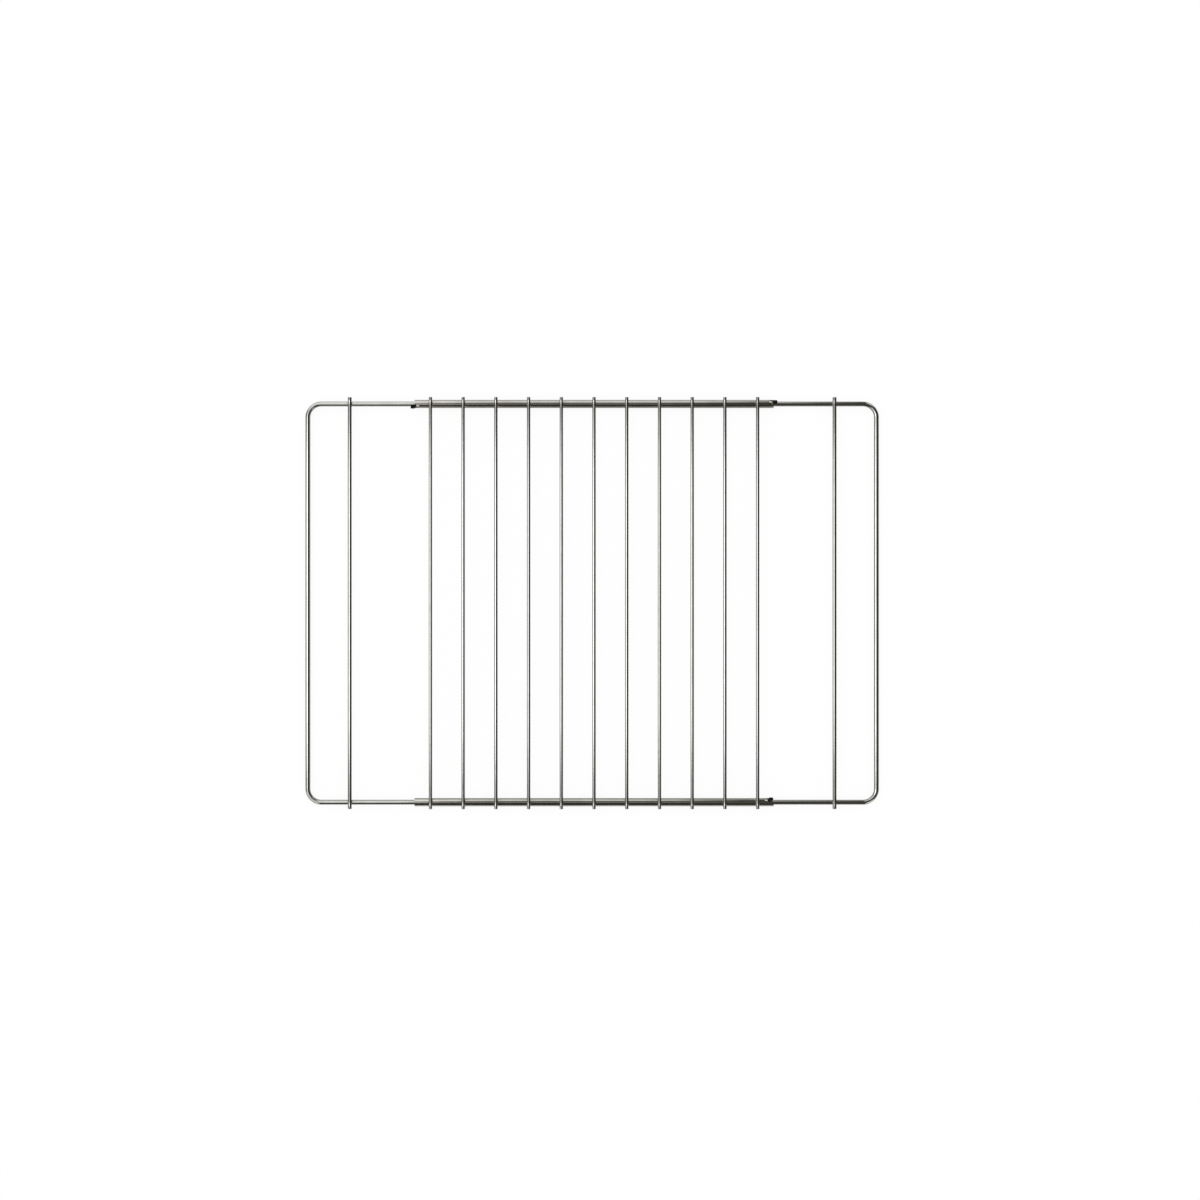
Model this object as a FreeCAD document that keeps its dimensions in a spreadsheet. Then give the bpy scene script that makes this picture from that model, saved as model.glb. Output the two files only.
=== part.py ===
import FreeCAD, Part
import math
import os
import Sketcher

# Extending wire shelf for an oven, in millimetres
# Two U-shaped wire frames slide in two round rail tubes. The cross wires of the centre grid are
# welded on top of the tubes, and one more cross wire is welded on the arms of each frame.
# X runs along the tubes, +Y is the rear, +Z is up. The origin is on the floor, halfway between
# the side wires of the two frames.

GRID_WIRE_COUNT = 11

# Driving sizes
SIZES = {
    "tube_outer_dia": 6.3,
    "tube_wall": 0.5,
    "tube_overhang": 12.6,
    "rail_spacing": 310.0,
    "wire_pitch": 25.4,
    "cross_wire_dia": 2.7,
    "end_wire_dia": 3.1,
    "cross_wire_overhang": 5.0,
    "weld_set_down": 0.3,
    "wire_end_bevel": 0.4,
    "frame_wire_dia": 3.8,
    "frame_bend_radius": 10.5,
    "left_reach": 83.2,
    "right_reach": 80.2,
    "end_wire_inset": 33.0,
    "closing_gap": 0.3,
    "arm_end_gap": 3.0,
    "stop_clearance": 0.15,
    "stop_length": 4.0,
    "stop_tail": 28.0,
    "tongue_width": 3.2,
    "tongue_tip_width": 2.7,
    "tongue_slit": 0.35,
    "tongue_ramp": 2.6,
    "tongue_hook": 4.1,
    "tongue_pad": 2.6,
    "tongue_clearance": 0.25,
}

# Each retaining tongue: its turn round the tube in degrees from the top towards the front, how far it
# stands out of the mouth, and how far the pad at its end is turned out over the outside of the tube,
# or below zero how far it stays short of that
TONGUES = {
    "rear_left_turn": 46.0,
    "rear_left_projection": 2.9,
    "rear_left_lip": 1.0,
    "rear_right_turn": -24.0,
    "rear_right_projection": 2.8,
    "rear_right_lip": 0.6,
    "front_left_turn": 180.0,
    "front_left_projection": 2.9,
    "front_left_lip": -0.2,
    "front_right_turn": -50.0,
    "front_right_projection": -0.5,
    "front_right_lip": 1.0,
}
MOUTHS = ("rear_left", "rear_right", "front_left", "front_right")

# Sizes that follow from the driving ones, as expressions on the sheet
HALF_SPACING = "Sizes.rail_spacing / 2"
CROSS_WIRE_LENGTH = "(Sizes.rail_spacing + 2 * Sizes.cross_wire_overhang)"
TUBE_RADIUS = "Sizes.tube_outer_dia / 2"
BORE_RADIUS = "(Sizes.tube_outer_dia / 2 - Sizes.tube_wall)"
ARM_RADIUS = "Sizes.frame_wire_dia / 2"
HALF_TUBE = f"(Sizes.wire_pitch * {(GRID_WIRE_COUNT - 1) / 2} + Sizes.tube_overhang)"
HALF_WIDTH = f"({HALF_TUBE} + (Sizes.left_reach + Sizes.right_reach) / 2)"
GRID_SHIFT = "(Sizes.left_reach - Sizes.right_reach) / 2"
LONGEST_TONGUE = "max(" + "; ".join(f"Sizes.{mouth}_projection" for mouth in MOUTHS) + ")"
CLOSED_REACH = (
    f"(Sizes.end_wire_inset + Sizes.end_wire_dia / 2 + {LONGEST_TONGUE} + Sizes.closing_gap)"
)
ARM_LENGTH = f"({CLOSED_REACH} + {HALF_TUBE} - Sizes.arm_end_gap / 2)"
STOP_START = f"({ARM_LENGTH} - Sizes.stop_tail - Sizes.stop_length)"
STOP_RADIUS = f"({BORE_RADIUS} - Sizes.stop_clearance)"
TONGUE_DIP = f"({BORE_RADIUS} - {ARM_RADIUS} - Sizes.tongue_clearance)"
RAIL_HEIGHT = TUBE_RADIUS

V = FreeCAD.Vector
NORMAL = V(0, 0, 1)
ORIGIN_POINT = (-1, 1)


def add_sizes(doc):
    """Puts every driving size in a named cell of the sheet."""
    sheet = doc.addObject("Spreadsheet::Sheet", "Sizes")
    for row, (name, value) in enumerate({**SIZES, **TONGUES}.items(), start=1):
        sheet.set(f"A{row}", name)
        sheet.set(f"B{row}", str(value))
        sheet.setAlias(f"B{row}", name)
    doc.recompute()


def new_body(doc, name):
    body = doc.addObject("PartDesign::Body", name)
    body.Label = name
    return body


def origin_plane(body, role):
    return next(item for item in body.Origin.OriginFeatures if item.Role == role)


def new_sketch(body, name, role, distance=None):
    """A sketch on an origin plane of the body, moved along its normal by an expression."""
    sketch = body.newObject("Sketcher::SketchObject", name)
    sketch.AttachmentSupport = [(origin_plane(body, role), "")]
    sketch.MapMode = "FlatFace"
    if distance:
        sketch.setExpression("AttachmentOffset.Base.z", distance)
    return sketch


def bind(sketch, kind, *args):
    """Adds a dimension whose last argument is an expression, the one before it a start value."""
    *where, start, expression = args
    index = sketch.addConstraint(Sketcher.Constraint(kind, *where, start))
    name = f"{kind}_{index}"
    sketch.renameConstraint(index, name)
    sketch.setExpression(f"Constraints.{name}", expression)


def add_circle(sketch, diameter, expression):
    """A circle of a bound diameter, whose centre is still free."""
    circle = sketch.addGeometry(Part.Circle(V(0, 0, 0), NORMAL, diameter / 2), False)
    bind(sketch, "Diameter", circle, diameter, expression)
    return circle


def centre_on_origin(sketch, circle):
    sketch.addConstraint(Sketcher.Constraint("Coincident", circle, 3, *ORIGIN_POINT))


def bevel_ends(body, bar):
    """Takes the sharp edge off both cut ends of a straight wire."""
    body.Document.recompute()
    numbered = enumerate(bar.Shape.Edges, start=1)
    round_edges = [f"Edge{number}" for number, edge in numbered if isinstance(edge.Curve, Part.Circle)]
    bevel = body.newObject("PartDesign::Chamfer", f"{body.Label}_bevel")
    bevel.Base = (bar, round_edges)
    bevel.setExpression("Size", "Sizes.wire_end_bevel")


def place(body, x="0", y="0", z="0"):
    body.setExpression("Placement.Base.x", x)
    body.setExpression("Placement.Base.y", y)
    body.setExpression("Placement.Base.z", z)


def add_cross_wire(doc, name, wire_dia, seat_dia):
    """A straight wire along Y, with a saddle at each rail where it is welded down."""
    body = new_body(doc, name)
    profile = new_sketch(body, f"{name}_section", "XZ_Plane")
    centre_on_origin(profile, add_circle(profile, SIZES[wire_dia], f"Sizes.{wire_dia}"))
    bar = body.newObject("PartDesign::Pad", f"{name}_bar")
    bar.Profile = profile
    bar.SideType = "Symmetric"
    bar.setExpression("Length", CROSS_WIRE_LENGTH)
    bevel_ends(body, bar)

    seats = new_sketch(body, f"{name}_seats", "YZ_Plane")
    half_spacing = SIZES["rail_spacing"] / 2
    drop = (SIZES[seat_dia] + SIZES[wire_dia]) / 2 - SIZES["weld_set_down"]
    drop_size = f"(Sizes.{seat_dia} + Sizes.{wire_dia}) / 2 - Sizes.weld_set_down"
    for side in (1, -1):
        seat = add_circle(seats, SIZES[seat_dia], f"Sizes.{seat_dia}")
        seats.moveGeometry(seat, 3, V(side * half_spacing, -drop, 0))
        ends = (*ORIGIN_POINT, seat, 3) if side > 0 else (seat, 3, *ORIGIN_POINT)
        bind(seats, "DistanceX", *ends, half_spacing, HALF_SPACING)
        bind(seats, "DistanceY", seat, 3, *ORIGIN_POINT, drop, drop_size)
    saddle = body.newObject("PartDesign::Pocket", f"{name}_saddles")
    saddle.Profile = seats
    saddle.SideType = "Symmetric"
    saddle.setExpression("Length", f"Sizes.{wire_dia} * 2")
    return body


def add_grid_wire(doc, number):
    """One wire of the centre grid, welded on both rail tubes."""
    body = add_cross_wire(doc, f"cross_wire_{number:02d}", "cross_wire_dia", "tube_outer_dia")
    step = number - (GRID_WIRE_COUNT + 1) / 2
    height = "Sizes.tube_outer_dia + Sizes.cross_wire_dia / 2 - Sizes.weld_set_down"
    place(body, x=f"{GRID_SHIFT} + Sizes.wire_pitch * {step}", z=height)
    return body


def add_end_wire(doc, name, side):
    """The wire welded on the two arms of a sliding frame."""
    body = add_cross_wire(doc, name, "end_wire_dia", "frame_wire_dia")
    height = f"{RAIL_HEIGHT} + (Sizes.frame_wire_dia + Sizes.end_wire_dia) / 2 - Sizes.weld_set_down"
    place(body, x=f"{side} * ({HALF_WIDTH} - Sizes.end_wire_inset)", z=height)
    return body


def turn_sketch(sketch, mouth):
    """Turns a section of the tube round its axis to where the tongue of that mouth stands."""
    turn = f"{mouth}_turn"
    sketch.AttachmentOffset = FreeCAD.Placement(V(0, 0, 0), FreeCAD.Rotation(NORMAL, TONGUES[turn]))
    sketch.setExpression("AttachmentOffset.Rotation.Angle", f"Sizes.{turn}")


def tongue_section(body, name, distance, mouth, width, shift=0.0, shift_size=None):
    """A piece of the tube wall of a given width, moved outwards or, below zero, inwards by a size."""
    sketch = new_sketch(body, name, "YZ_Plane", distance)
    turn_sketch(sketch, mouth)
    outer = SIZES["tube_outer_dia"] / 2
    inner = outer - SIZES["tube_wall"]
    half = SIZES[width] / 2
    middle = V(0, shift, 0)

    def wall_arc(radius):
        spread = math.asin(half / radius)
        circle = Part.Circle(middle, NORMAL, radius)
        return sketch.addGeometry(Part.ArcOfCircle(circle, math.pi / 2 - spread, math.pi / 2 + spread), False)

    def corner(arc, end):
        return sketch.getPoint(arc, end)

    top = wall_arc(outer)
    under = wall_arc(inner)
    right = sketch.addGeometry(Part.LineSegment(corner(top, 1), corner(under, 1)), False)
    left = sketch.addGeometry(Part.LineSegment(corner(top, 2), corner(under, 2)), False)
    for line, end in ((right, 1), (left, 2)):
        sketch.addConstraint(Sketcher.Constraint("Coincident", line, 1, top, end))
        sketch.addConstraint(Sketcher.Constraint("Coincident", line, 2, under, end))
        sketch.addConstraint(Sketcher.Constraint("Vertical", line))
    sketch.addConstraint(Sketcher.Constraint("Coincident", top, 3, under, 3))
    if shift:
        sketch.addConstraint(Sketcher.Constraint("PointOnObject", top, 3, -2))
        ends = (*ORIGIN_POINT, top, 3) if shift > 0 else (top, 3, *ORIGIN_POINT)
        bind(sketch, "DistanceY", *ends, abs(shift), shift_size)
    else:
        centre_on_origin(sketch, top)
    bind(sketch, "Radius", top, outer, TUBE_RADIUS)
    bind(sketch, "Radius", under, inner, BORE_RADIUS)
    bind(sketch, "DistanceX", *ORIGIN_POINT, right, 1, half, f"Sizes.{width} / 2")
    bind(sketch, "DistanceX", left, 1, *ORIGIN_POINT, half, f"Sizes.{width} / 2")
    return sketch


def cut_tongue_slot(body, name, distance, depth, mouth, side):
    """Opens the wall of the tube mouth on both sides of the tongue."""
    sketch = new_sketch(body, f"{name}_slot", "YZ_Plane", distance)
    turn_sketch(sketch, mouth)
    half = SIZES["tongue_width"] / 2 + SIZES["tongue_slit"]
    half_size = "Sizes.tongue_width / 2 + Sizes.tongue_slit"
    height = SIZES["tube_outer_dia"]
    corners = [V(-half, 0, 0), V(half, 0, 0), V(half, height, 0), V(-half, height, 0)]
    for index in range(4):
        sketch.addGeometry(Part.LineSegment(corners[index], corners[(index + 1) % 4]), False)
    for index in range(4):
        sketch.addConstraint(Sketcher.Constraint("Coincident", index, 2, (index + 1) % 4, 1))
        sketch.addConstraint(Sketcher.Constraint(("Horizontal", "Vertical")[index % 2], index))
    sketch.addConstraint(Sketcher.Constraint("PointOnObject", 0, 1, -1))
    bind(sketch, "DistanceX", 0, 1, *ORIGIN_POINT, half, half_size)
    bind(sketch, "DistanceX", *ORIGIN_POINT, 0, 2, half, half_size)
    bind(sketch, "DistanceY", 1, 1, 1, 2, height, "Sizes.tube_outer_dia")
    slot = body.newObject("PartDesign::Pocket", f"{name}_opening")
    slot.Profile = sketch
    slot.Reversed = side > 0
    slot.setExpression("Length", f"2 * {depth}")


def add_tongue(body, mouth, side):
    """A tongue lanced from the wall at one mouth: it ramps in, so that the arm's stop cannot pass, and
    its end is turned out again to a straight pad."""
    name = f"{mouth}_tongue"
    tip_reach = f"Sizes.{mouth}_projection"
    neck_reach = f"({tip_reach} - Sizes.tongue_hook)"
    root_depth = f"(Sizes.tongue_ramp + Sizes.tongue_hook - {tip_reach})"
    root_place = f"{side} * ({HALF_TUBE} - {root_depth})"
    neck_place = f"{side} * ({HALF_TUBE} + {neck_reach})"
    heel_place = f"{side} * ({HALF_TUBE} + {tip_reach} - Sizes.tongue_pad)"
    tip_place = f"{side} * ({HALF_TUBE} + {tip_reach})"
    bore = SIZES["tube_outer_dia"] / 2 - SIZES["tube_wall"]
    dip = bore - SIZES["frame_wire_dia"] / 2 - SIZES["tongue_clearance"]
    cut_tongue_slot(body, name, root_place, root_depth, mouth, side)
    root = tongue_section(body, f"{name}_root", root_place, mouth, "tongue_width")
    neck = tongue_section(body, f"{name}_neck", neck_place, mouth, "tongue_width", -dip, TONGUE_DIP)
    lip = f"{mouth}_lip"
    lip_size = f"abs(Sizes.{lip})"
    heel = tongue_section(body, f"{name}_heel", heel_place, mouth, "tongue_width", TONGUES[lip], lip_size)
    tip = tongue_section(body, f"{name}_tip", tip_place, mouth, "tongue_tip_width", TONGUES[lip], lip_size)
    tongue = body.newObject("PartDesign::AdditiveLoft", name)
    tongue.Profile = root
    tongue.Sections = [neck, heel, tip]
    tongue.Ruled = True


def add_rail_tube(doc, name, rail, side):
    """A round tube along X that guides one arm of each frame and carries the grid wires."""
    body = new_body(doc, name)
    ring = new_sketch(body, f"{name}_section", "YZ_Plane")
    outer = SIZES["tube_outer_dia"]
    inner = outer - 2 * SIZES["tube_wall"]
    centre_on_origin(ring, add_circle(ring, outer, "Sizes.tube_outer_dia"))
    centre_on_origin(ring, add_circle(ring, inner, f"2 * {BORE_RADIUS}"))
    pipe = body.newObject("PartDesign::Pad", f"{name}_pipe")
    pipe.Profile = ring
    pipe.SideType = "Symmetric"
    pipe.setExpression("Length", f"2 * {HALF_TUBE}")
    add_tongue(body, f"{rail}_left", -1)
    add_tongue(body, f"{rail}_right", 1)
    place(body, x=GRID_SHIFT, y=f"{side} * {HALF_SPACING}", z=RAIL_HEIGHT)
    return body


def frame_path(body, name):
    """Centre line of the bent wire: arm, bend, side wire, bend, arm."""
    path = new_sketch(body, name, "XY_Plane")
    bend = SIZES["frame_bend_radius"]
    high = SIZES["rail_spacing"] / 2
    half_tube = SIZES["wire_pitch"] * (GRID_WIRE_COUNT - 1) / 2 + SIZES["tube_overhang"]
    length = SIZES["end_wire_inset"] + half_tube
    rear_bend = Part.Circle(V(bend, high - bend, 0), NORMAL, bend)
    front_bend = Part.Circle(V(bend, bend - high, 0), NORMAL, bend)
    pieces = [
        Part.LineSegment(V(length, high, 0), V(bend, high, 0)),
        Part.ArcOfCircle(rear_bend, math.pi / 2, math.pi),
        Part.LineSegment(V(0, high - bend, 0), V(0, bend - high, 0)),
        Part.ArcOfCircle(front_bend, math.pi, math.pi * 1.5),
        Part.LineSegment(V(bend, -high, 0), V(length, -high, 0)),
    ]
    rear_arm, rear_arc, side_wire, front_arc, front_arm = path.addGeometry(pieces, False)
    order = [rear_arm, rear_arc, side_wire, front_arc, front_arm]
    for first, second in zip(order, order[1:]):
        path.addConstraint(Sketcher.Constraint("Tangent", first, 2, second, 1))
    path.addConstraint(Sketcher.Constraint("Horizontal", rear_arm))
    path.addConstraint(Sketcher.Constraint("Vertical", side_wire))
    path.addConstraint(Sketcher.Constraint("Horizontal", front_arm))
    path.addConstraint(Sketcher.Constraint("PointOnObject", side_wire, 1, -2))
    bind(path, "Radius", rear_arc, bend, "Sizes.frame_bend_radius")
    bind(path, "Radius", front_arc, bend, "Sizes.frame_bend_radius")
    bind(path, "DistanceY", *ORIGIN_POINT, rear_arm, 1, high, HALF_SPACING)
    bind(path, "DistanceY", front_arm, 2, *ORIGIN_POINT, high, HALF_SPACING)
    bind(path, "DistanceX", *ORIGIN_POINT, rear_arm, 1, length, ARM_LENGTH)
    bind(path, "DistanceX", *ORIGIN_POINT, front_arm, 2, length, ARM_LENGTH)
    return path


def add_arm_stop(body, name):
    """A thicker place pressed into each arm, which the tongue at the tube mouth holds back."""
    sketch = new_sketch(body, f"{name}_section", "YZ_Plane", STOP_START)
    high = SIZES["rail_spacing"] / 2
    bore = SIZES["tube_outer_dia"] / 2 - SIZES["tube_wall"]
    dia = 2 * (bore - SIZES["stop_clearance"])
    circle = add_circle(sketch, dia, f"2 * {STOP_RADIUS}")
    sketch.moveGeometry(circle, 3, V(high, 0, 0))
    sketch.addConstraint(Sketcher.Constraint("PointOnObject", circle, 3, -1))
    bind(sketch, "DistanceX", *ORIGIN_POINT, circle, 3, high, HALF_SPACING)
    stop = body.newObject("PartDesign::Pad", name)
    stop.Profile = sketch
    stop.setExpression("Length", "Sizes.stop_length")
    pair = body.newObject("PartDesign::Mirrored", f"{name}_pair")
    pair.Originals = [stop]
    pair.MirrorPlane = (origin_plane(body, "XZ_Plane"), [""])
    body.Tip = pair


def add_frame_wire(doc, name, side):
    """A wire bent into a U, whose two arms run into the rail tubes."""
    body = new_body(doc, name)
    path = frame_path(body, f"{name}_path")
    section = new_sketch(body, f"{name}_section", "YZ_Plane", ARM_LENGTH)
    high = SIZES["rail_spacing"] / 2
    circle = add_circle(section, SIZES["frame_wire_dia"], "Sizes.frame_wire_dia")
    section.moveGeometry(circle, 3, V(high, 0, 0))
    section.addConstraint(Sketcher.Constraint("PointOnObject", circle, 3, -1))
    bind(section, "DistanceX", *ORIGIN_POINT, circle, 3, high, HALF_SPACING)
    wire = body.newObject("PartDesign::AdditivePipe", f"{name}_bent_wire")
    wire.Profile = section
    wire.Spine = (path, [f"Edge{number}" for number in range(1, 6)])
    add_arm_stop(body, f"{name}_stop")
    if side > 0:
        body.Placement = FreeCAD.Placement(V(0, 0, 0), FreeCAD.Rotation(NORMAL, 180))
    place(body, x=f"{side} * {HALF_WIDTH}", z=RAIL_HEIGHT)
    return body


def write_parts(doc, bodies):
    """Stops on any fault, then writes each piece to its own file."""
    doc.recompute()
    for item in doc.Objects:
        if "Invalid" in item.State or "Error" in item.State:
            raise RuntimeError(f"{item.Label} did not build: {item.State}")
    os.makedirs("parts", exist_ok=True)
    for body in bodies:
        shape = body.Shape
        if shape.isNull() or not shape.isValid() or len(shape.Solids) != 1:
            raise RuntimeError(f"{body.Label} is not one sound solid")
        shape.exportStep(f"parts/{body.Label}.step")


def build():
    doc = FreeCAD.newDocument("oven_shelf_rack")
    add_sizes(doc)
    bodies = [
        add_rail_tube(doc, "rear_rail_tube", "rear", 1),
        add_rail_tube(doc, "front_rail_tube", "front", -1),
    ]
    bodies += [add_grid_wire(doc, number) for number in range(1, GRID_WIRE_COUNT + 1)]
    for name, side in (("left", -1), ("right", 1)):
        bodies.append(add_frame_wire(doc, f"{name}_frame_wire", side))
        bodies.append(add_end_wire(doc, f"{name}_end_wire", side))
    write_parts(doc, bodies)


build()
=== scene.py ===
import math

import bmesh
import bpy
from mathutils import Matrix, Vector


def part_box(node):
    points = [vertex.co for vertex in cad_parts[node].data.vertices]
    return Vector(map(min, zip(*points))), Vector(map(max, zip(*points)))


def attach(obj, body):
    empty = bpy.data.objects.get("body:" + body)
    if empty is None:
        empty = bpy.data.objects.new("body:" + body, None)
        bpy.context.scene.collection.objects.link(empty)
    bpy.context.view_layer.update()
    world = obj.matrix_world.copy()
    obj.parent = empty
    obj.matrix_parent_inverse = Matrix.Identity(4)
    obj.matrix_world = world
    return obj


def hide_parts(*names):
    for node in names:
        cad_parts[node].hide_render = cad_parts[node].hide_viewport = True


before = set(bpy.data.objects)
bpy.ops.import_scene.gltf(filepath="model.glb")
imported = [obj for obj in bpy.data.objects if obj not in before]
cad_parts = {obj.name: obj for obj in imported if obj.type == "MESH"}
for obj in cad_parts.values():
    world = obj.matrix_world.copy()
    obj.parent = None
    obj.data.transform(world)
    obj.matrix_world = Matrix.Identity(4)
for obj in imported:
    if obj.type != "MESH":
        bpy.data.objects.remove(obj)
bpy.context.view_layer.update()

MM = 0.001

# Photograph's frame: a square picture taken from straight above
PHOTO_PIXELS = 1200
MM_PER_PIXEL = 0.7775
SENSOR_WIDTH = 36.0
CAMERA_HEIGHT = 1500 * MM
VIEW_CENTRE = (6.1 * MM, 2.4 * MM)
WIRE_PLANE = 5.0 * MM

# Round stock
WIRE_SIDES = 40
BEND_STEPS = 24
FRAME_WIRE_RADIUS = 1.9 * MM
FRAME_BEND_RADIUS = 10.5 * MM
STOP_RADIUS = 2.5 * MM
STOP_LENGTH = 4.0 * MM
STOP_TAIL = 28.0 * MM
WIRE_END_ROUND = 0.45 * MM
ARM_END_ROUND = 0.3 * MM
END_ROUND_STEPS = 4

# Faces that meet at more degrees than this keep a sharp edge between them
SHARP_DEGREES = 38

# Painted shade: the flanks are painted darker and made satin, the top and bottom keep the plate's bright
# colour; height over the axis, in radii, where the bright top starts and is full
WIRE_FLANK_SHADE_HEIGHT = (0.65, 0.92)
TUBE_FLANK_SHADE_HEIGHT = (0.48, 0.78)

# Resistance welds: distance along the wire in millimetres and how fully it is pressed there
WELD_PRESS = ((-2.4, 0.0), (-1.6, 0.55), (-0.8, 1.0), (0.8, 1.0), (1.6, 0.55), (2.4, 0.0))
PRESS_SPREAD = 0.02
PRESS_FLATTEN = 0.03

# Weld flash: height over the stock in millimetres, half width across the wire as a share of the wire's
# radius, and half length along the wire as a share of the stock's radius
FLASH_RINGS = (
    (-0.46, 1.33, 0.5),
    (0.0, 1.23, 0.42),
    (0.3, 1.1, 0.34),
    (0.55, 0.94, 0.26),
    (0.7, 0.74, 0.18),
)
FLASH_SIDES = 36

# Rail tubes, each mouth with one tongue lanced from the wall: it ramps in to hold the arm's stop, and its
# end is turned out again to a straight pad
TUBE_RADIUS = 3.15 * MM
TUBE_STEP_DEGREES = 2
TUBE_WALL = 0.5 * MM
TONGUE_HALF_DEGREES = 30
TONGUE_TIP_SHARE = 0.84
SLIT_DEGREES = 8
TONGUE_RAMP = 2.6 * MM
TONGUE_HOOK = 4.1 * MM
TONGUE_PAD = 2.6 * MM
TONGUE_DIP = 0.5 * MM
TONGUE_STEPS = 10
TIP_STEPS = 6

# Slack in degrees that keeps a tongue's own edge on the tongue, how near two places are to count as one,
# and how squarely a face looks along the tube to count as a cut rim
TONGUE_SLACK = TUBE_STEP_DEGREES / 4
SAME_PLACE = 0.01 * MM
RIM_FACING = 0.9

# Each tongue: its turn in degrees from the top towards the front, how far it stands out of the mouth in
# millimetres, and how far its pad is turned out over the tube's outside in millimetres
TONGUES = {
    "rear_rail_tube": {"left": (46, 2.9, 1.0), "right": (-24, 2.8, 0.6)},
    "front_rail_tube": {"left": (180, 2.9, -0.2), "right": (-50, -0.5, 1.0)},
}

GRID_WIRE_COUNT = 11
GRID_WIRES = ["cross_wire_%02d" % number for number in range(1, GRID_WIRE_COUNT + 1)]

# Finishes: how fine the noise goes, where each colour ramp starts and is full, and the near-black metal's
# grain
PLATE_CLOUD_DETAIL = 3.0
PLATE_CLOUD_STOPS = (0.35, 0.65)
PLATE_PEEL_DETAIL = 2.0
NEAR_BLACK_GRAIN_MM = 0.5
NEAR_BLACK_GRAIN_DEPTH_MM = 0.04
NEAR_BLACK_GRAIN_DETAIL = 4.0
NEAR_BLACK_GRAIN_STOPS = (0.4, 0.75)
NEAR_BLACK_ROUGHNESS = 0.6

# Studio, in metres; the tent's slopes are off the vertical, to the right or left and to the rear or front
FLOOR_SIZE = 12.0
FLOOR_DROP = 0.05 * MM
FLOOR_GLOW_SHARE = 0.9
FLOOR_COLOUR = "#FAFAFA"
FULL_WHITE = "#FFFFFF"
ROOM_LIGHT = 1.0
KEY_PLACE = (-0.9, 0.9, 1.4)
KEY_SIZE = 1.2
KEY_POWER = 4.0
TENT_RADIUS = 1.6
TENT_SEGMENTS = 200
TENT_CLOTH_HIGH = "#4E4C47"
TENT_CLOTH_LOW = "#34302B"
CLOTH_SLOPES = (0.2, 2.0)

# Least height of a direction on a dome of radius 1, which keeps the slopes finite at the horizon
TENT_LEAST_HEIGHT = 0.05

# Each panel's brightness, then the slopes where it starts, is full, fades and is gone, across and back
TENT_PANELS = {
    "left_wall": (3.4, (-1.5, -1.0, -0.40, -0.28), (-0.24, -0.2, 0.2, 0.26)),
    "left_veil": (0.9, (-1.5, -1.0, -0.195, -0.17), (-0.50, -0.38, 4.0, 9.0)),
    "overhead_strip": (0.35, (-0.5, -0.3, 0.06, 0.16), (-0.17, -0.12, 0.12, 0.17)),
}

# Each wall's brightness, then how far across and how far back on a dome of radius 1 it starts and is full
TENT_WALLS = {
    "rear_wall": (1.05, (0.27, 0.12), (0.42, 0.82)),
    "rear_left_wall": (1.3, (-0.05, -0.15), (0.37, 0.62)),
    "rear_right_corner": (1.2, (0.32, 0.45), (0.60, 0.70)),
    "front_right_corner": (1.2, (0.32, 0.45), (-0.56, -0.67)),
    "front_left_corner": (0.85, (-0.30, -0.38), (-0.24, -0.32)),
}


# Colours and shader nodes

def linear(hex_colour):
    """An sRGB hex colour as the linear RGBA that a shader socket takes."""
    shares = [int(hex_colour[i:i + 2], 16) / 255 for i in (1, 3, 5)]
    return [s / 12.92 if s <= 0.04045 else ((s + 0.055) / 1.055) ** 2.4 for s in shares] + [1.0]


def add_node(tree, kind, sockets=None, links=None, **settings):
    """Adds a shader node, sets its own settings and socket values, and links outputs into it."""
    new = tree.nodes.new(kind)
    for name, value in settings.items():
        setattr(new, name, value)
    for name, value in (sockets or {}).items():
        new.inputs[name].default_value = value
    for name, source in (links or {}).items():
        tree.links.new(source, new.inputs[name])
    return new


def new_material(name):
    """An empty node material; returns it and its node tree."""
    material = bpy.data.materials.new(name)
    material.use_nodes = True
    material.node_tree.nodes.clear()
    return material, material.node_tree


def set_ramp(ramp, places, colours):
    """Gives a colour ramp its two stops."""
    for stop, place, colour in zip(ramp.color_ramp.elements, places, colours):
        stop.position = place
        stop.color = linear(colour)


def per_metre(millimetres):
    """A texture's scale for features of that size."""
    return 1.0 / (millimetres * MM)


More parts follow.
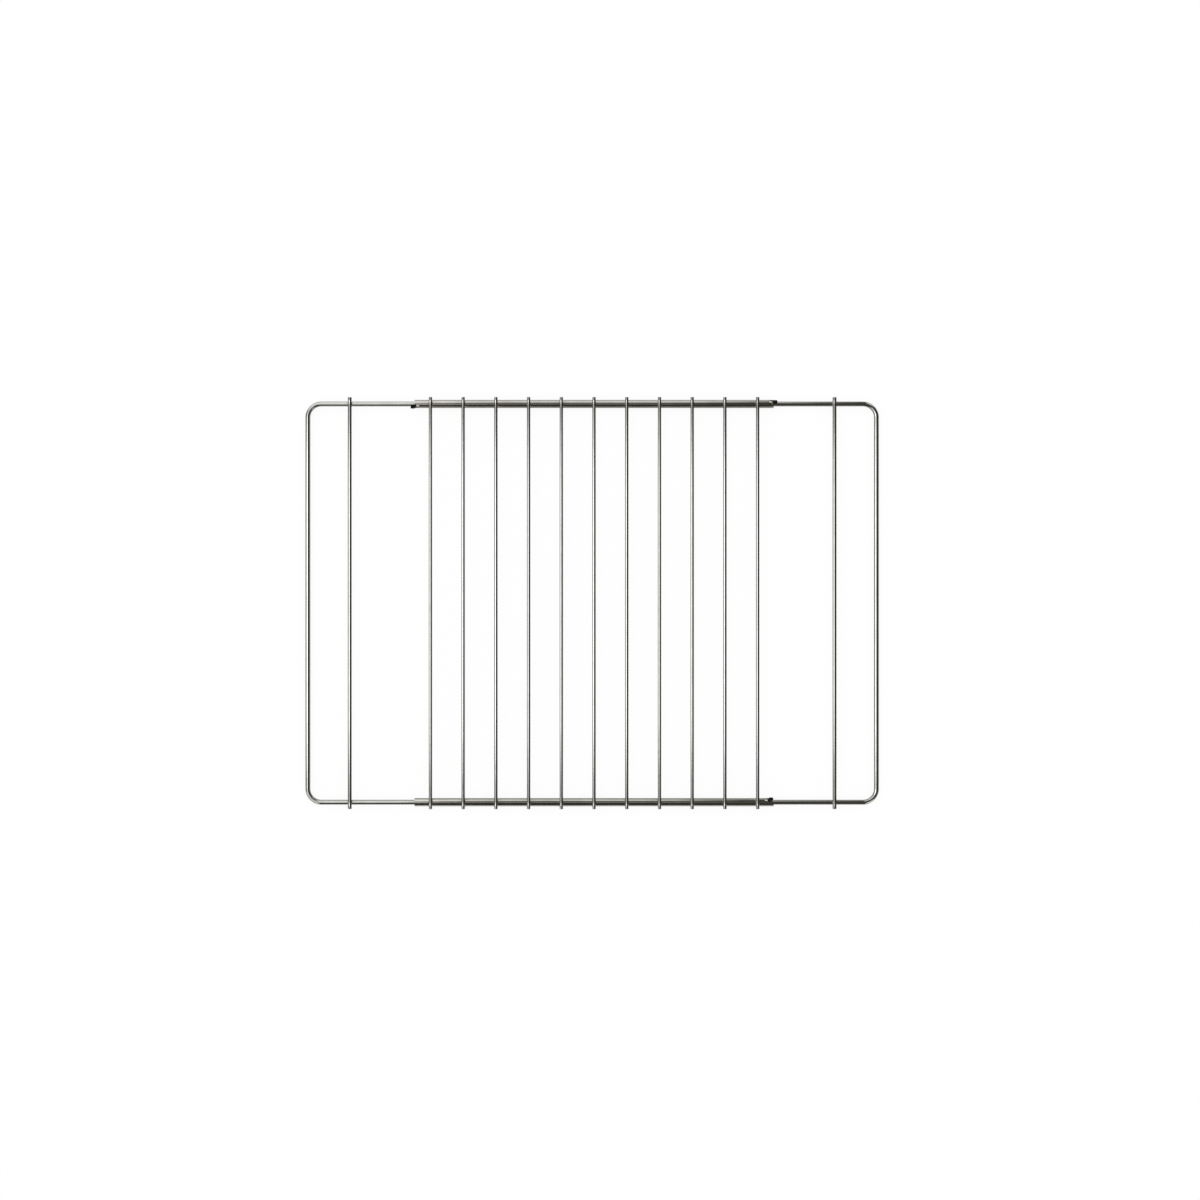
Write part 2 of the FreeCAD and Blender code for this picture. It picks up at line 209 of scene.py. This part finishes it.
def chrome_plate(name, unshaded_top, clouded, painted_flank_shade, mottle_mm, peel_mm, peel_depth_mm, gloss, flank_gloss):
    """Chrome over nickel: mirror bright on top and below, with painted shade making the flanks between
    grey, and satin there.
    """
    material, tree = new_material(name)
    place = add_node(tree, "ShaderNodeTexCoord")
    clouds = add_node(tree, "ShaderNodeTexNoise",
                      {"Scale": per_metre(mottle_mm), "Detail": PLATE_CLOUD_DETAIL},
                      {"Vector": place.outputs["Object"]})
    plate = add_node(tree, "ShaderNodeValToRGB", links={"Fac": clouds.outputs["Fac"]})
    set_ramp(plate, PLATE_CLOUD_STOPS, (clouded, unshaded_top))
    # Painted shade: the flanks take the darker side colour and a satin roughness, the top and bottom the
    # plate's colour
    unshaded_share = add_node(tree, "ShaderNodeAttribute", attribute_name="unshaded_top")
    tone = add_node(tree, "ShaderNodeMixRGB", {"Color1": linear(painted_flank_shade)},
                    {"Fac": unshaded_share.outputs["Fac"], "Color2": plate.outputs["Color"]})
    rough = add_node(tree, "ShaderNodeMapRange", {"To Min": flank_gloss, "To Max": gloss},
                     {"Value": unshaded_share.outputs["Fac"]})
    peel = add_node(tree, "ShaderNodeTexNoise",
                    {"Scale": per_metre(peel_mm), "Detail": PLATE_PEEL_DETAIL},
                    {"Vector": place.outputs["Object"]})
    bump = add_node(tree, "ShaderNodeBump", {"Strength": 1.0, "Distance": peel_depth_mm * MM},
                    {"Height": peel.outputs["Fac"]})
    shader = add_node(tree, "ShaderNodeBsdfPrincipled", {"Metallic": 1.0},
                      {"Base Color": tone.outputs["Color"], "Roughness": rough.outputs["Result"],
                       "Normal": bump.outputs["Normal"]})
    add_node(tree, "ShaderNodeOutputMaterial", links={"Surface": shader.outputs["BSDF"]})
    return material


def drawn_wire_chrome():
    """Chrome-plated drawn steel wire: a thin sharp highlight along each wire between flanks painted grey as
    shade.
    """
    return chrome_plate("drawn_steel_wire_bright_chrome",
                        # The darker side colour is painted shade for the wire's flanks
                        unshaded_top="#CECECB", clouded="#C4C4C0", painted_flank_shade="#8A8A86",
                        mottle_mm=9.0, peel_mm=5.0, peel_depth_mm=0.003, gloss=0.08, flank_gloss=0.3)


def rolled_tube_chrome():
    """Chrome-plated rolled tube: a little softer and warmer than the wire, cloudy from bay to bay, with
    painted shade on its flanks.
    """
    return chrome_plate("rolled_steel_tube_bright_chrome",
                        # The darker side colour is painted shade for the tube's flanks
                        unshaded_top="#C4C3BD", clouded="#B6B3AB", painted_flank_shade="#7A7770",
                        mottle_mm=14.0, peel_mm=6.0, peel_depth_mm=0.006, gloss=0.12, flank_gloss=0.3)


def weld_flash_chrome():
    """Plating over squeezed-out weld metal: rough underneath, so it shows dull and broken, with painted
    shade on its flanks.
    """
    return chrome_plate("weld_flash_dull_chrome",
                        # The darker side colour is painted shade for the weld flash's flanks
                        unshaded_top="#B4B3AF", clouded="#9A9791", painted_flank_shade="#6E6C68",
                        mottle_mm=1.2, peel_mm=0.5, peel_depth_mm=0.03, gloss=0.25, flank_gloss=0.4)


def near_black_tongue_metal():
    """Near-black, dry, grainy metal on the tongues' turned-out ends and on the tube's cut rims."""
    material, tree = new_material("near_black_tongue_and_rim_metal")
    place = add_node(tree, "ShaderNodeTexCoord")
    grain = add_node(tree, "ShaderNodeTexNoise",
                     {"Scale": per_metre(NEAR_BLACK_GRAIN_MM), "Detail": NEAR_BLACK_GRAIN_DETAIL},
                     {"Vector": place.outputs["Object"]})
    tone = add_node(tree, "ShaderNodeValToRGB", links={"Fac": grain.outputs["Fac"]})
    # Near-black colour for the tongue ends and cut rims
    set_ramp(tone, NEAR_BLACK_GRAIN_STOPS, ("#161514", "#3A3633"))
    bump = add_node(tree, "ShaderNodeBump", {"Strength": 1.0, "Distance": NEAR_BLACK_GRAIN_DEPTH_MM * MM},
                    {"Height": grain.outputs["Fac"]})
    shader = add_node(tree, "ShaderNodeBsdfPrincipled", {"Metallic": 1.0, "Roughness": NEAR_BLACK_ROUGHNESS},
                      {"Base Color": tone.outputs["Color"], "Normal": bump.outputs["Normal"]})
    add_node(tree, "ShaderNodeOutputMaterial", links={"Surface": shader.outputs["BSDF"]})
    return material


# Mesh helpers

def fade(value, start, full):
    """0 before start, 1 past full, and a smooth step between them."""
    share = min(1.0, max(0.0, (value - start) / (full - start)))
    return share * share * (3 - 2 * share)


def start_ring(bm, radius, centre, facing, sides):
    """A round section at centre, square to facing; returns its edges."""
    turn = Vector((0, 0, 1)).rotation_difference(Vector(facing)).to_matrix().to_4x4()
    made = bmesh.ops.create_circle(bm, cap_ends=False, radius=radius, segments=sides,
                                   matrix=Matrix.Translation(centre) @ turn)
    return list({edge for vert in made["verts"] for edge in vert.link_edges})


def verts_of(edges):
    """The vertices of some edges, each once."""
    return list({vert for edge in edges for vert in edge.verts})


def resize_ring(bm, ring, factors):
    """Scales a ring about its own centre."""
    verts = verts_of(ring)
    middle = sum((vert.co for vert in verts), Vector()) / len(verts)
    bmesh.ops.scale(bm, vec=factors, verts=verts, space=Matrix.Translation(-middle))


def run(bm, ring, step):
    """Draws an edge loop's walls out by a straight step; returns the new loop."""
    made = bmesh.ops.extrude_edge_only(bm, edges=ring)["geom"]
    verts = {item for item in made if isinstance(item, bmesh.types.BMVert)}
    bmesh.ops.translate(bm, verts=list(verts), vec=step)
    return [item for item in made
            if isinstance(item, bmesh.types.BMEdge) and all(vert in verts for vert in item.verts)]


def bend(bm, ring, centre, degrees):
    """Carries a ring round an upright axis through centre; returns the last ring."""
    made = bmesh.ops.spin(bm, geom=ring + verts_of(ring), cent=centre, axis=(0, 0, 1),
                          angle=math.radians(degrees), steps=BEND_STEPS)
    return [item for item in made["geom_last"] if isinstance(item, bmesh.types.BMEdge)]


def close_end(bm, ring, rounding):
    """Caps a ring and rounds the cap's rim as a tumbled, plated end is."""
    bmesh.ops.edgeloop_fill(bm, edges=ring)
    bmesh.ops.bevel(bm, geom=ring, offset=rounding, offset_type="OFFSET", segments=END_ROUND_STEPS,
                    profile=0.5, affect="EDGES", material=-1, clamp_overlap=True)


def mark_flank_shade(bm, axis_z, radius, heights):
    """Notes on each vertex how much of the bright top colour it keeps: fully on top and below, none on the
    flanks, which get the painted shade and the satin finish.
    """
    layer = bm.verts.layers.float.new("unshaded_top")
    for vert in bm.verts:
        vert[layer] = fade(abs(vert.co.z - axis_z) / radius, *heights)


def make_piece(bm, node, materials, body):
    """Turns a bmesh into a smooth piece that rides on a body and stands for its CAD node."""
    bmesh.ops.recalc_face_normals(bm, faces=bm.faces)
    mesh = bpy.data.meshes.new(node + "_plated")
    bm.to_mesh(mesh)
    bm.free()
    mesh.shade_smooth()
    mesh.set_sharp_from_angle(angle=math.radians(SHARP_DEGREES))
    for material in materials:
        mesh.materials.append(material)
    piece = bpy.data.objects.new(node + "_plated", mesh)
    bpy.context.scene.collection.objects.link(piece)
    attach(piece, body)
    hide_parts(node)


# Cross wires

def press_amount(offset):
    """How fully the weld has pressed the wire at some distance from its middle, from 0 to 1."""
    for (low, low_amount), (high, high_amount) in zip(WELD_PRESS, WELD_PRESS[1:]):
        if low * MM <= offset <= high * MM:
            share = (offset - low * MM) / ((high - low) * MM)
            return low_amount + share * (high_amount - low_amount)
    return 0.0


def press_wire(bm, axis, weld_y):
    """Flattens and spreads the wire's round where the electrodes pressed it on to the stock."""
    for vert in bm.verts:
        amount = press_amount(vert.co.y - weld_y)
        vert.co.x = axis.x + (vert.co.x - axis.x) * (1 + PRESS_SPREAD * amount)
        vert.co.z = axis.z + (vert.co.z - axis.z) * (1 - PRESS_FLATTEN * amount)


def add_weld_flash(bm, spot, wire_radius, stock_radius):
    """Metal squeezed out round one weld: a low oval mound on the stock, under the wire's sides."""
    before = set(bm.faces)
    ring = None
    for height, width_share, length_share in FLASH_RINGS:
        size = Vector((width_share * wire_radius, length_share * stock_radius, 1.0))
        level = height * MM
        if ring is None:
            ring = start_ring(bm, 1.0, spot + Vector((0, 0, level)), (0, 0, 1), FLASH_SIDES)
            resize_ring(bm, ring, size)
            bmesh.ops.edgeloop_fill(bm, edges=ring)
        else:
            ring = run(bm, ring, Vector((0, 0, level - last_level)))
            resize_ring(bm, ring, (size.x / last_size.x, size.y / last_size.y, 1.0))
        last_size = size
        last_level = level
    bmesh.ops.edgeloop_fill(bm, edges=ring)
    for face in set(bm.faces) - before:
        face.material_index = 1


def add_cross_wire(node, body, rails, stock_radius, materials):
    """A straight drawn wire with rounded ends, pressed and welded on to the two rails under it."""
    low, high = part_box(node)
    radius = (high.x - low.x) / 2
    axis = Vector(((low.x + high.x) / 2, 0.0, high.z - radius))
    stops = sorted(rail.y + offset * MM for rail in rails for offset, _ in WELD_PRESS) + [high.y]
    bm = bmesh.new()
    first = start_ring(bm, radius, (axis.x, low.y, axis.z), (0, 1, 0), WIRE_SIDES)
    ring = first
    reached = low.y
    for stop in stops:
        ring = run(bm, ring, (0, stop - reached, 0))
        reached = stop
    for rail in rails:
        press_wire(bm, axis, rail.y)
    close_end(bm, first, WIRE_END_ROUND)
    close_end(bm, ring, WIRE_END_ROUND)
    for rail in rails:
        add_weld_flash(bm, Vector((axis.x, rail.y, rail.z + stock_radius)), radius, stock_radius)
    mark_flank_shade(bm, axis.z, radius, WIRE_FLANK_SHADE_HEIGHT)
    make_piece(bm, node, materials, body)


# Frame wires

def run_stop(bm, ring, direction):
    """The upset collar near an arm's inner end, which the tongue in the tube's mouth holds back."""
    swell = STOP_RADIUS / FRAME_WIRE_RADIUS
    ring = run(bm, ring, (0, 0, 0))
    resize_ring(bm, ring, (swell, swell, swell))
    ring = run(bm, ring, (direction * STOP_LENGTH, 0, 0))
    ring = run(bm, ring, (0, 0, 0))
    resize_ring(bm, ring, (1 / swell, 1 / swell, 1 / swell))
    return ring


def add_frame_wire(side, outward, rails, materials):
    """One wire bent to a U: out along the rear rail, round a bend, across, and back along the front."""
    node = side + "_frame_wire"
    low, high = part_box(node)
    arm_end = high.x if outward < 0 else low.x
    side_wire = low.x + FRAME_WIRE_RADIUS if outward < 0 else high.x - FRAME_WIRE_RADIUS
    bend_x = side_wire - outward * FRAME_BEND_RADIUS
    front, rear = rails
    arm_run = abs(bend_x - arm_end) - STOP_TAIL - STOP_LENGTH
    quarter = -90 * outward
    bm = bmesh.new()
    first = start_ring(bm, FRAME_WIRE_RADIUS, (arm_end, rear.y, rear.z), (outward, 0, 0), WIRE_SIDES)
    ring = run(bm, first, (outward * STOP_TAIL, 0, 0))
    ring = run_stop(bm, ring, outward)
    ring = run(bm, ring, (outward * arm_run, 0, 0))
    ring = bend(bm, ring, (bend_x, rear.y - FRAME_BEND_RADIUS, rear.z), quarter)
    ring = run(bm, ring, (0, front.y - rear.y + 2 * FRAME_BEND_RADIUS, 0))
    ring = bend(bm, ring, (bend_x, front.y + FRAME_BEND_RADIUS, front.z), quarter)
    ring = run(bm, ring, (-outward * arm_run, 0, 0))
    ring = run_stop(bm, ring, -outward)
    ring = run(bm, ring, (-outward * STOP_TAIL, 0, 0))
    close_end(bm, first, ARM_END_ROUND)
    close_end(bm, ring, ARM_END_ROUND)
    mark_flank_shade(bm, rear.z, FRAME_WIRE_RADIUS, WIRE_FLANK_SHADE_HEIGHT)
    make_piece(bm, node, materials, side + "_frame")


# Rail tubes

def turn_from_top(point, rail):
    """A point's angle round the rail, in degrees from its top towards the front."""
    return math.degrees(math.atan2(rail.y - point.y, point.z - rail.z))


def off_tongue(point, rail, turn):
    """How many degrees a point lies from a tongue's middle line, with its sign."""
    return (turn_from_top(point, rail) - turn + 180) % 360 - 180


def tongue_rings(projection):
    """How far inside the mouth the tube's sheet has its rings, from the tongue's root to the mouth."""
    root = TONGUE_RAMP + TONGUE_HOOK - projection
    tip = max(0.0, -projection)
    rings = [root - (root - tip) * step / TONGUE_STEPS for step in range(TONGUE_STEPS + 1)]
    return rings + [0.0] if tip else rings


def bend_tongue_point(vert, rail, turn, reach, angle, lip):
    """Moves one point of a tongue in along the ramp and out again to the pad, and narrows the pad."""
    heel = TONGUE_RAMP + TONGUE_HOOK - TONGUE_PAD
    shift = (TONGUE_DIP + lip) * fade(reach, TONGUE_RAMP, heel) - TONGUE_DIP * fade(reach, 0.0, TONGUE_RAMP)
    along_pad = max(0.0, reach - heel) / TONGUE_PAD
    narrowed = math.radians(angle * (1 - TONGUE_TIP_SHARE) * along_pad ** 2)
    away = Matrix.Rotation(-narrowed, 3, "X") @ Vector((0, vert.co.y - rail.y, vert.co.z - rail.z))
    out = Vector((0, -math.sin(math.radians(turn)), math.cos(math.radians(turn))))
    vert.co.y = rail.y + away.y + shift * out.y
    vert.co.z = rail.z + away.z + shift * out.z


def cut_tongue(bm, rail, mouth, outward, turn, projection, lip):
    """Slits the tube's sheet at a mouth, gives the tongue its length and bends it in and out again."""
    half = TONGUE_HALF_DEGREES + TONGUE_SLACK
    root = TONGUE_RAMP + TONGUE_HOOK - projection
    waste = []
    for face in bm.faces:
        middle = face.calc_center_median()
        past_mouth = outward * (middle.x - mouth)
        angle = abs(off_tongue(middle, rail, turn))
        in_slit = half < angle < half + SLIT_DEGREES and past_mouth > -root
        if in_slit or (angle < half and past_mouth > projection):
            waste.append(face)
    bmesh.ops.delete(bm, geom=waste, context="FACES")
    edge = [item for item in bm.edges
            if all(abs(vert.co.x - mouth) < SAME_PLACE and abs(off_tongue(vert.co, rail, turn)) < half
                   for vert in item.verts)]
    if projection > 0:
        for _ in range(TIP_STEPS):
            edge = run(bm, edge, (outward * projection / TIP_STEPS, 0, 0))
    for vert in bm.verts:
        reach = outward * (vert.co.x - mouth) + root
        angle = off_tongue(vert.co, rail, turn)
        if reach > SAME_PLACE and abs(angle) < half:
            bend_tongue_point(vert, rail, turn, reach, angle, lip)


def is_near_black_face(face, rail, left, right, tongues):
    """Whether a face of a tube is on a tongue's turned-out end or on a cut rim."""
    point = face.calc_center_median()
    on_left = point.x < (left + right) / 2
    turn, projection, _ = tongues["left" if on_left else "right"]
    past_mouth = left - point.x if on_left else point.x - right
    on_hook = past_mouth > projection - TONGUE_HOOK
    in_line = abs(off_tongue(point, rail, turn)) < TONGUE_HALF_DEGREES + SLIT_DEGREES / 2
    return (on_hook and in_line) or abs(face.normal.x) > RIM_FACING


def add_rail_tube(node, rail, materials):
    """A thin-walled tube, open at both mouths, with one bent tongue at each."""
    low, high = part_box(node)
    tongues = {side: (turn, projection * MM, lip * MM)
               for side, (turn, projection, lip) in TONGUES[node].items()}
    left = low.x + max(0.0, tongues["left"][1])
    right = high.x - max(0.0, tongues["right"][1])
    stations = [left + depth for depth in reversed(tongue_rings(tongues["left"][1]))]
    stations += [right - depth for depth in tongue_rings(tongues["right"][1])]
    bm = bmesh.new()
    ring = start_ring(bm, TUBE_RADIUS, (left, rail.y, rail.z), (1, 0, 0), 360 // TUBE_STEP_DEGREES)
    for reached, station in zip(stations, stations[1:]):
        ring = run(bm, ring, (station - reached, 0, 0))
    for side, mouth, outward in (("left", left, -1), ("right", right, 1)):
        cut_tongue(bm, rail, mouth, outward, *tongues[side])
    bmesh.ops.recalc_face_normals(bm, faces=bm.faces)
    bmesh.ops.solidify(bm, geom=bm.faces[:], thickness=TUBE_WALL)
    for face in bm.faces:
        face.material_index = int(is_near_black_face(face, rail, left, right, tongues))
    mark_flank_shade(bm, rail.z, TUBE_RADIUS, TUBE_FLANK_SHADE_HEIGHT)
    make_piece(bm, node, materials, "centre_grid")


# Studio

def add_stage(bm, name, material):
    """Turns a bmesh into a studio object, which is not part of the shelf."""
    mesh = bpy.data.meshes.new(name)
    bm.to_mesh(mesh)
    bm.free()
    mesh.materials.append(material)
    item = bpy.data.objects.new(name, mesh)
    bpy.context.scene.collection.objects.link(item)
    return item


def floor_paper():
    """White studio paper, lit from behind so that eye and metal both see it white, with a faint shadow."""
    material, tree = new_material("studio_floor_white")
    rays = add_node(tree, "ShaderNodeLightPath")
    seen = add_node(tree, "ShaderNodeMath", operation="MAXIMUM",
                    links={0: rays.outputs["Is Camera Ray"], 1: rays.outputs["Is Glossy Ray"]})
    shown = add_node(tree, "ShaderNodeMath", operation="MAXIMUM",
                     links={0: seen.outputs["Value"], 1: rays.outputs["Is Transmission Ray"]})
    share = add_node(tree, "ShaderNodeMath", {1: FLOOR_GLOW_SHARE}, {0: shown.outputs["Value"]},
                     operation="MULTIPLY")
    paper = add_node(tree, "ShaderNodeBsdfDiffuse", {"Color": linear(FLOOR_COLOUR)})
    glow = add_node(tree, "ShaderNodeEmission", {"Color": linear(FULL_WHITE), "Strength": 1.0})
    both = add_node(tree, "ShaderNodeMixShader", links={0: share.outputs["Value"], 1: paper.outputs["BSDF"],
                                                        2: glow.outputs["Emission"]})
    add_node(tree, "ShaderNodeOutputMaterial", links={"Surface": both.outputs["Shader"]})
    return material


def add_floor():
    """A plain white floor under the shelf."""
    bm = bmesh.new()
    bmesh.ops.create_grid(bm, x_segments=1, y_segments=1, size=FLOOR_SIZE / 2,
                          matrix=Matrix.Translation((0, 0, -FLOOR_DROP)))
    add_stage(bm, "studio_floor", floor_paper())


def between(value, start, full, fading, gone):
    """0 outside start and gone, 1 from full to fading, and smooth steps between them."""
    return fade(value, start, full) * (1 - fade(value, fading, gone))


def tent_light(direction):
    """What the tent shows in a direction: the brightest panel or wall over dark cloth."""
    height = max(direction.z, TENT_LEAST_HEIGHT)
    across = direction.x / height
    back = direction.y / height
    bright = max(light * between(across, *across_edges) * between(back, *back_edges)
                 for light, across_edges, back_edges in TENT_PANELS.values())
    walls = max(light * fade(direction.x, *across_edges) * fade(direction.y, *back_edges)
                for light, across_edges, back_edges in TENT_WALLS.values())
    bright = max(bright, walls)
    low = fade(math.hypot(across, back), *CLOTH_SLOPES)
    cloth = Vector(linear(TENT_CLOTH_HIGH)[:3]).lerp(Vector(linear(TENT_CLOTH_LOW)[:3]), low)
    return [shade + bright for shade in cloth] + [1.0]


def add_tent():
    """A tent round the table that only reflections see, as round any bright metal in a studio."""
    material, tree = new_material("studio_tent_cloth")
    shade = add_node(tree, "ShaderNodeVertexColor", layer_name="tent_light")
    glow = add_node(tree, "ShaderNodeEmission", links={"Color": shade.outputs["Color"]})
    add_node(tree, "ShaderNodeOutputMaterial", links={"Surface": glow.outputs["Emission"]})
    bm = bmesh.new()
    bmesh.ops.create_uvsphere(bm, u_segments=TENT_SEGMENTS, v_segments=TENT_SEGMENTS, radius=TENT_RADIUS)
    bmesh.ops.bisect_plane(bm, geom=bm.verts[:] + bm.edges[:] + bm.faces[:], plane_co=(0, 0, 0),
                           plane_no=(0, 0, 1), clear_inner=True)
    colour = bm.verts.layers.float_color.new("tent_light")
    for vert in bm.verts:
        vert[colour] = tent_light(vert.co.normalized())
    tent = add_stage(bm, "studio_tent", material)
    tent.visible_camera = False
    tent.visible_diffuse = False
    tent.visible_shadow = False


def add_key_lamp():
    """A large soft lamp at the rear left, which gives the floor its faint shadow."""
    lamp = bpy.data.lights.new("key_softbox", "AREA")
    lamp.shape = "SQUARE"
    lamp.size = KEY_SIZE
    lamp.energy = KEY_POWER
    holder = bpy.data.objects.new("key_softbox", lamp)
    holder.location = KEY_PLACE
    holder.rotation_euler = (-Vector(KEY_PLACE)).to_track_quat("-Z", "Y").to_euler()
    holder.visible_glossy = False
    bpy.context.scene.collection.objects.link(holder)


def add_world():
    """An even white room."""
    world = bpy.data.worlds.new("pale_studio")
    world.use_nodes = True
    world.node_tree.nodes.clear()
    sky = add_node(world.node_tree, "ShaderNodeBackground",
                   {"Color": linear(FULL_WHITE), "Strength": ROOM_LIGHT})
    add_node(world.node_tree, "ShaderNodeOutputWorld", links={"Surface": sky.outputs["Background"]})
    bpy.context.scene.world = world


def add_camera():
    """Looks straight down, with the rear rail at the top of the picture."""
    lens = bpy.data.cameras.new("photo_camera")
    lens.sensor_width = SENSOR_WIDTH
    lens.lens = SENSOR_WIDTH * (CAMERA_HEIGHT - WIRE_PLANE) / (PHOTO_PIXELS * MM_PER_PIXEL * MM)
    camera = bpy.data.objects.new("photo_camera", lens)
    camera.location = (*VIEW_CENTRE, CAMERA_HEIGHT)
    bpy.context.scene.collection.objects.link(camera)
    bpy.context.scene.camera = camera


def add_studio():
    """Floor, room, key lamp and the tent that the chrome reflects."""
    add_world()
    add_key_lamp()
    add_tent()
    add_floor()


# Shelf

def rail_axis(node, side):
    """A point on a rail's axis, from its solid's box; no tongue stands out past the rail's outer side."""
    low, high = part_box(node)
    outer = high.y if side > 0 else low.y
    return Vector((0, outer - side * TUBE_RADIUS, TUBE_RADIUS))


def build_shelf():
    """All the plated pieces, each in place of its solid."""
    wire = drawn_wire_chrome()
    tube = rolled_tube_chrome()
    flash = weld_flash_chrome()
    tongue_and_rim_black = near_black_tongue_metal()
    rails = (rail_axis("front_rail_tube", -1), rail_axis("rear_rail_tube", 1))
    for node, rail in zip(("front_rail_tube", "rear_rail_tube"), rails):
        add_rail_tube(node, rail, [tube, tongue_and_rim_black])
    for node in GRID_WIRES:
        add_cross_wire(node, "centre_grid", rails, TUBE_RADIUS, [wire, flash])
    for side, outward in (("left", -1), ("right", 1)):
        add_frame_wire(side, outward, rails, [wire])
        add_cross_wire(side + "_end_wire", side + "_frame", rails, FRAME_WIRE_RADIUS, [wire, flash])


build_shelf()
add_studio()
add_camera()
bpy.context.scene.view_settings.view_transform = "Standard"
